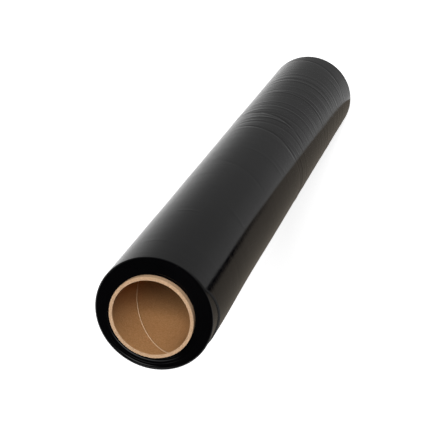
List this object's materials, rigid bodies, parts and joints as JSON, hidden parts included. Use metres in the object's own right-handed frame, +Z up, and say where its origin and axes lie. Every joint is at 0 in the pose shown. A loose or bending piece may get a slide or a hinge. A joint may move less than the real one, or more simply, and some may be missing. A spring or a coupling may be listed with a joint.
{
  "type": "stretch wrap roll",
  "caption": "Roll of black stretch film wound on a plain cardboard tube that stands a little proud of the film at both ends.",
  "frame": {"origin": "centre of the cardboard tube's lower end, on the surface that the roll stands on", "axes": "+Z up along the roll's axis; the set-back of the last turns at the upper end is 188 degrees round from +X towards +Y"},
  "size_m": [0.078, 0.078, 0.511],
  "materials": {
    "board": "matte",
    "film": "gloss"
  },
  "bodies": {
    "root": {"core_tube": "board", "film_roll": "film"}
  },
  "joints": []
}
